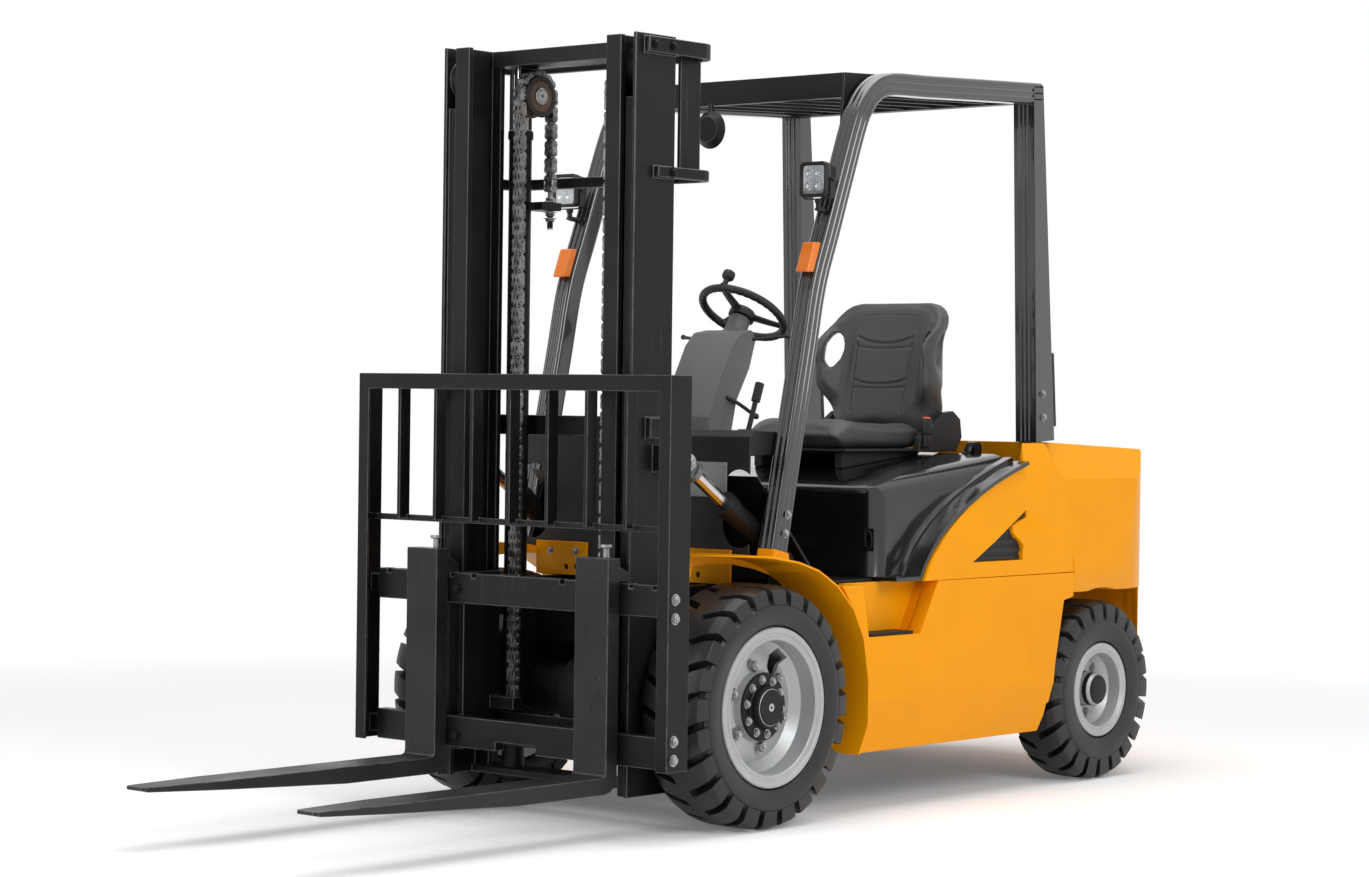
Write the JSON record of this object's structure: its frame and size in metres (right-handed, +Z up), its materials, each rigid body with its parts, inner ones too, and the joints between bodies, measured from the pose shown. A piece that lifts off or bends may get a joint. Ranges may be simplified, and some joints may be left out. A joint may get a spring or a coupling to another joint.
{
  "type": "counterbalance forklift truck",
  "caption": "Sit-on counterbalance forklift truck with a two-stage tilting mast, chain-lifted fork carriage, overhead guard, rear steering and a tilting hood.",
  "frame": {"origin": "on the ground, below the middle of the truck's length and width", "axes": "+X to the fork tips, +Y to the operator's left, +Z up"},
  "size_m": [3.82, 1.238, 2.268],
  "materials": {
    "battery_case": "matte",
    "black_paint": "satin",
    "cast_axle": "matte",
    "chain_steel": "oiled",
    "counterweight_paint": "gloss",
    "cowl_plastic": "matte",
    "fork_steel": "satin",
    "hood_plastic": "gloss",
    "lamp_amber": "gloss",
    "lamp_case": "matte",
    "lamp_red": "gloss",
    "mast_paint": "satin",
    "rod_chrome": "polished",
    "seat_vinyl": "satin",
    "tyre_rubber": "matte",
    "wheel_silver": "satin",
    "yellow_paint": "gloss"
  },
  "bodies": {
    "chassis": {"frame": "black_paint", "battery_pack": "battery_case", "body_sides": "yellow_paint", "fenders": "yellow_paint", "floor_plates": "black_paint", "cowl": "cowl_plastic", "steering_column": "cowl_plastic", "controls": "cowl_plastic", "counterweight": "counterweight_paint", "vent_grilles": "cowl_plastic", "guard_frame": "black_paint", "guard_roof": "black_paint", "work_lamps": "lamp_case", "turn_lamps": "lamp_amber", "rear_lamps": "lamp_red", "drive_axle": "cast_axle", "steer_axle": "cast_axle"},
    "hood": {"hood": "hood_plastic", "seat_base": "cowl_plastic", "seat_cushion": "seat_vinyl", "seat_back": "seat_vinyl"},
    "steering_wheel": {"steering_wheel": "cowl_plastic"},
    "front_wheel_left": {"front_tyre_left": "tyre_rubber", "front_rim_left": "wheel_silver"},
    "front_wheel_right": {"front_tyre_right": "tyre_rubber", "front_rim_right": "wheel_silver"},
    "knuckle_left": {"knuckle_left": "cast_axle"},
    "knuckle_right": {"knuckle_right": "cast_axle"},
    "rear_wheel_left": {"rear_tyre_left": "tyre_rubber", "rear_rim_left": "wheel_silver"},
    "rear_wheel_right": {"rear_tyre_right": "tyre_rubber", "rear_rim_right": "wheel_silver"},
    "steer_rod": {"steer_rod": "rod_chrome"},
    "mast_outer": {"mast_outer": "mast_paint", "lift_barrels": "mast_paint"},
    "mast_inner": {"mast_inner": "mast_paint", "lift_rods": "rod_chrome", "chain_wheels": "chain_steel", "chain_rear": "chain_steel", "chain_front": "chain_steel"},
    "carriage": {"carriage": "mast_paint", "load_backrest": "mast_paint", "forks": "fork_steel"},
    "tilt_barrels": {"tilt_barrels": "mast_paint"},
    "tilt_rods": {"tilt_rods": "rod_chrome"}
  },
  "joints": [
    {"name": "mast_tilt", "type": "hinge", "parent": "chassis", "child": "mast_outer", "pos_m": [0.35, 0, 0.3525], "axis": [0, 1, 0], "range_deg": [-10, 6]},
    {"name": "mast_lift", "type": "slide", "parent": "mast_outer", "child": "mast_inner", "axis": [0, 0, 1], "range_m": [-0.059, 1.441], "deforming": ["chain_rear"]},
    {"name": "carriage_lift", "type": "slide", "parent": "mast_inner", "child": "carriage", "axis": [0, 0, 1], "range_m": [-0.059, 1.441], "deforming": ["chain_front"]},
    {"name": "front_left_roll", "type": "hinge", "parent": "chassis", "child": "front_wheel_left", "pos_m": [0.35, 0.502, 0.3525], "axis": [0, 1, 0], "continuous": true},
    {"name": "front_right_roll", "type": "hinge", "parent": "chassis", "child": "front_wheel_right", "pos_m": [0.35, -0.502, 0.3525], "axis": [0, 1, 0], "continuous": true},
    {"name": "steer_left", "type": "hinge", "parent": "chassis", "child": "knuckle_left", "pos_m": [-1.39, 0.38, 0.295], "axis": [0, 0, 1], "range_deg": [-65, 65]},
    {"name": "steer_right", "type": "hinge", "parent": "chassis", "child": "knuckle_right", "pos_m": [-1.39, -0.38, 0.295], "axis": [0, 0, 1], "range_deg": [-65, 65]},
    {"name": "rear_left_roll", "type": "hinge", "parent": "knuckle_left", "child": "rear_wheel_left", "pos_m": [-1.39, 0.5, 0.295], "axis": [0, 1, 0], "continuous": true},
    {"name": "rear_right_roll", "type": "hinge", "parent": "knuckle_right", "child": "rear_wheel_right", "pos_m": [-1.39, -0.5, 0.295], "axis": [0, 1, 0], "continuous": true},
    {"name": "steering_wheel_turn", "type": "hinge", "parent": "chassis", "child": "steering_wheel", "pos_m": [-0.217, 0, 1.505], "axis": [-0.5446, 0, 0.8387], "range_deg": [-785, 785]},
    {"name": "steer_rod_slide", "type": "slide", "parent": "chassis", "child": "steer_rod", "axis": [0, 1, 0], "range_m": [-0.0455, 0.0455]},
    {"name": "tilt_barrel_swing", "type": "hinge", "parent": "chassis", "child": "tilt_barrels", "pos_m": [0.08, 0, 0.756], "axis": [0, 1, 0], "range_deg": [-9.89, 5.95]},
    {"name": "tilt_rod_slide", "type": "slide", "parent": "tilt_barrels", "child": "tilt_rods", "axis": [0.8412, 0, 0.5408], "range_m": [-0.08522, 0.05133]},
    {"name": "hood_open", "type": "hinge", "parent": "chassis", "child": "hood", "pos_m": [-0.98, 0, 1.09], "axis": [0, -1, 0], "range_deg": [0, 30]}
  ],
  "couplings": [
    {"joint": "carriage_lift", "follows": "mast_lift", "ratio": 1},
    {"joint": "steer_right", "follows": "steer_left", "ratio": 1},
    {"joint": "steering_wheel_turn", "follows": "steer_left", "ratio": -12},
    {"joint": "steer_rod_slide", "follows": "steer_left", "m_per_rad": -0.0397},
    {"joint": "tilt_barrel_swing", "follows": "mast_tilt", "ratio": 0.98375},
    {"joint": "tilt_rod_slide", "follows": "mast_tilt", "m_per_rad": 0.48542}
  ]
}
